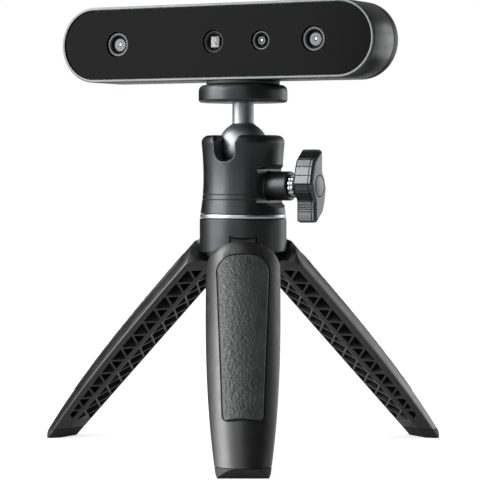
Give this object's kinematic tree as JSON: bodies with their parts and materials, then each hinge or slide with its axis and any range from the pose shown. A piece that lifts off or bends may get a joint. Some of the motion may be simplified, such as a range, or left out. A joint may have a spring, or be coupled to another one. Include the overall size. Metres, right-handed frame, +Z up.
{
  "type": "handheld three-d scanner",
  "caption": "Capsule-shaped handheld three-d scanner head on a mini ball head, with a tabletop tripod whose ribbed legs fold into a handle.",
  "frame": {"origin": "centre of the whole object's box, on the surface that the feet stand on", "axes": "+Z up, -Y the way that the scanner's glass front and the ball head's slot face, +X towards the clamp knob"},
  "size_m": [0.1924, 0.2052, 0.2224],
  "materials": {
    "anodised": "dark satin anodised",
    "leg_body": "fine satin moulding",
    "bright": "bright turned metal",
    "ball": "polished",
    "steel": "plain",
    "brass": "turned",
    "rubber": "matt",
    "grip": "leather grain",
    "knob": "fine matt",
    "nylon": "matt",
    "shell": "satin anodised",
    "cover": "fine matt",
    "panel": "black glass",
    "lens": "coated lens",
    "board": "solder mask",
    "light": "clear light pipe"
  },
  "bodies": {
    "hub": {"leg_hub": "anodised", "trim_ring": "bright", "head_stud": "steel", "hinge_pin_front": "steel", "hinge_pin_left": "steel", "hinge_pin_right": "steel"},
    "front_leg": {"leg_front": "leg_body", "grip_pad_front": "grip", "foot_front": "rubber"},
    "right_leg": {"leg_right": "leg_body", "grip_pad_right": "grip", "foot_right": "rubber"},
    "left_leg": {"leg_left": "leg_body", "grip_pad_left": "grip", "foot_left": "rubber"},
    "head": {"ball_housing": "anodised", "head_base": "steel"},
    "seat": {"ball_seat": "nylon"},
    "clamp": {"clamp_knob": "knob", "knob_cap": "knob", "clamp_collar": "bright", "clamp_screw": "steel"},
    "ball": {"ball_stem": "ball", "platform_disc": "anodised", "friction_pad": "rubber", "camera_screw": "steel"},
    "scanner": {"scanner_housing": "shell", "rear_cover": "cover", "front_bezel": "bright", "front_panel": "panel", "left_camera_barrel": "nylon", "right_camera_barrel": "nylon", "color_camera_barrel": "nylon", "projector_barrel": "nylon", "left_camera_lens": "lens", "right_camera_lens": "lens", "color_camera_lens": "lens", "projector_lens": "lens", "optical_bracket": "steel", "main_board": "board", "heat_spreader": "steel", "button_switch": "nylon", "usb_socket": "steel", "status_light": "light", "screw_insert": "brass", "cover_screw_1": "steel", "cover_screw_2": "steel", "cover_screw_3": "steel", "cover_screw_4": "steel"},
    "button": {"scan_button": "nylon"}
  },
  "joints": [
    {"name": "leg_front_fold", "type": "hinge", "parent": "hub", "child": "front_leg", "pos_m": [0.02431, -0.0089, 0.1043], "axis": [0.8829, 0.4695, 0], "range_deg": [0, 45]},
    {"name": "leg_right_fold", "type": "hinge", "parent": "hub", "child": "right_leg", "pos_m": [0.02504, 0.01187, 0.1043], "axis": [-0.848, 0.5299, 0], "range_deg": [0, 45]},
    {"name": "leg_left_fold", "type": "hinge", "parent": "hub", "child": "left_leg", "pos_m": [0.00668, 0.00212, 0.1043], "axis": [-0.0349, -0.9994, 0], "range_deg": [0, 45]},
    {"name": "head_pan", "type": "hinge", "parent": "hub", "child": "head", "pos_m": [0.01868, 0.0017, 0.118], "axis": [0, 0, 1], "continuous": true},
    {"name": "ball_tilt", "type": "hinge", "parent": "head", "child": "ball", "pos_m": [0.01868, 0.0017, 0.1512], "axis": [1, 0, 0], "range_deg": [-35, 90]},
    {"name": "scanner_turn", "type": "hinge", "parent": "ball", "child": "scanner", "pos_m": [0.01868, 0.0017, 0.1842], "axis": [0, 0, 1], "continuous": true},
    {"name": "clamp_turn", "type": "hinge", "parent": "head", "child": "clamp", "pos_m": [0.01868, 0.0017, 0.1318], "axis": [-1, 0, 0], "range_deg": [0, 540]},
    {"name": "seat_lift", "type": "slide", "parent": "head", "child": "seat", "axis": [0, 0, 1], "range_m": [0, 0.00025]},
    {"name": "scan_press", "type": "slide", "parent": "scanner", "child": "button", "axis": [0, -1, 0], "range_m": [0, 0.0008], "stiffness_N_per_m": 1500, "springref_m": -0.0004}
  ],
  "couplings": [
    {"joint": "seat_lift", "follows": "clamp_turn", "m_per_rad": 0.000026525}
  ]
}
